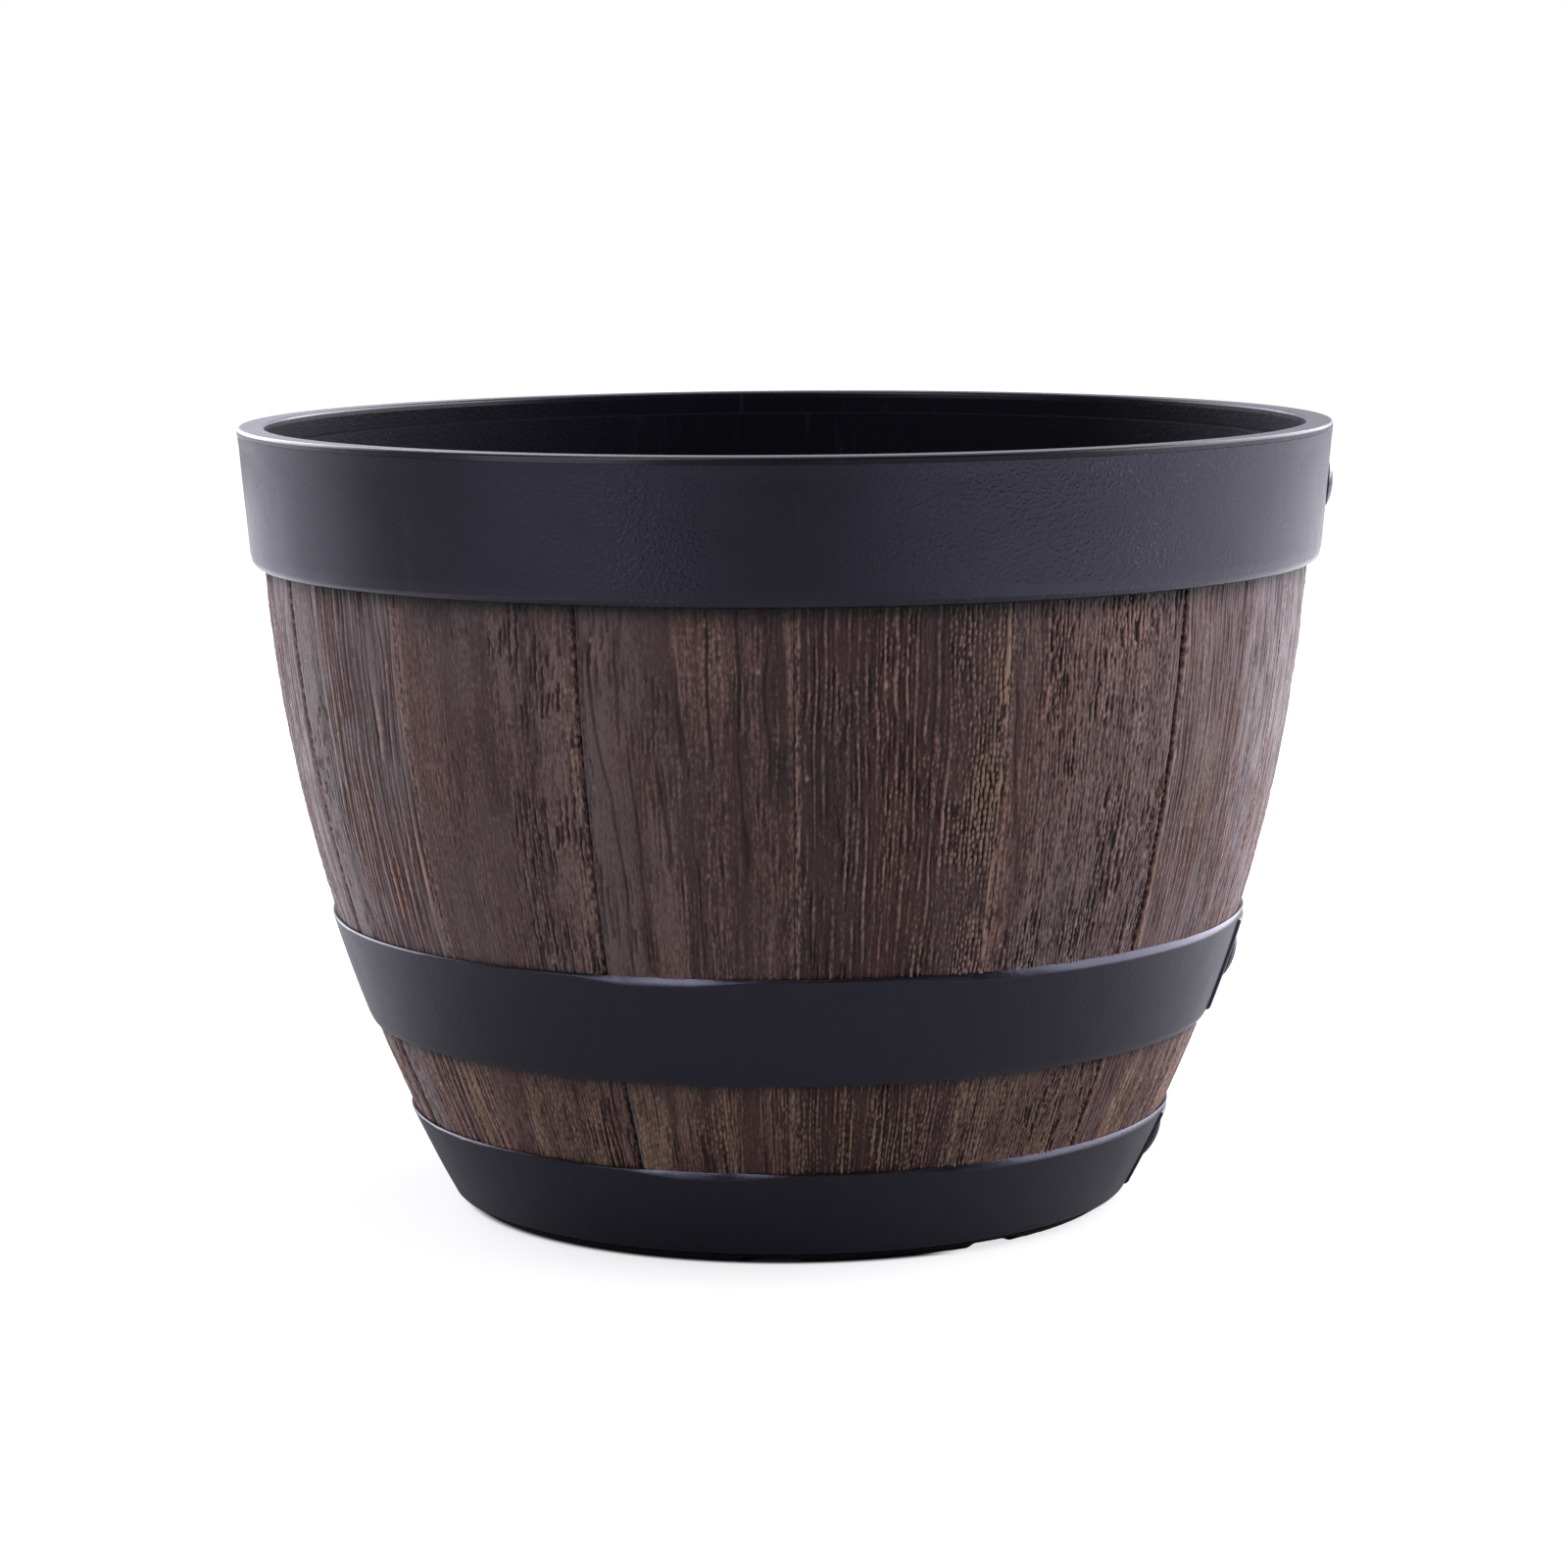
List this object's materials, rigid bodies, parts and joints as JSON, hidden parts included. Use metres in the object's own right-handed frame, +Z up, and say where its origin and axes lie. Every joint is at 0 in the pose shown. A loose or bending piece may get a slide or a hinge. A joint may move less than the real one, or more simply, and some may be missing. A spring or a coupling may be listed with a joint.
{
  "type": "whiskey barrel planter",
  "caption": "Round barrel planter: dark moulded pot clad in bowed wood-grain staves, gripped by a rim band and riveted lapped hoops, with drain plugs that lift out of its floor.",
  "frame": {"origin": "centre of the planter on the surface that it stands on", "axes": "+Z up along the planter's axis, -Y the side that the picture shows as its front, +X the side where the hoops overlap"},
  "size_m": [0.2282, 0.2282, 0.164],
  "materials": {
    "pot_resin": "satin black moulded resin",
    "stave_resin": "brown resin moulded and brushed to a wood grain",
    "band_resin": "satin black with a fine orange-peel skin",
    "hoop_resin": "satin black with a fine orange-peel skin",
    "rivet_resin": "satin black",
    "plug_rubber": "matte black"
  },
  "bodies": {
    "planter": {"inner_pot": "pot_resin", "stave_01": "stave_resin", "stave_02": "stave_resin", "stave_03": "stave_resin", "stave_04": "stave_resin", "stave_05": "stave_resin", "stave_06": "stave_resin", "stave_07": "stave_resin", "stave_08": "stave_resin", "stave_09": "stave_resin", "stave_10": "stave_resin", "stave_11": "stave_resin", "stave_12": "stave_resin", "stave_13": "stave_resin", "stave_14": "stave_resin", "stave_15": "stave_resin", "stave_16": "stave_resin", "rim_band": "band_resin", "middle_hoop": "hoop_resin", "bottom_hoop": "hoop_resin", "rim_band_rivets": "rivet_resin", "middle_hoop_rivets": "rivet_resin", "bottom_hoop_rivets": "rivet_resin"},
    "drain_plug_1": {"drain_plug_1": "plug_rubber"},
    "drain_plug_2": {"drain_plug_2": "plug_rubber"},
    "drain_plug_3": {"drain_plug_3": "plug_rubber"}
  },
  "joints": [
    {"name": "drain_plug_1_lift", "type": "slide", "parent": "planter", "child": "drain_plug_1", "axis": [0, 0, 1], "range_m": [0, 0.175]},
    {"name": "drain_plug_2_lift", "type": "slide", "parent": "planter", "child": "drain_plug_2", "axis": [0, 0, 1], "range_m": [0, 0.175]},
    {"name": "drain_plug_3_lift", "type": "slide", "parent": "planter", "child": "drain_plug_3", "axis": [0, 0, 1], "range_m": [0, 0.175]}
  ]
}
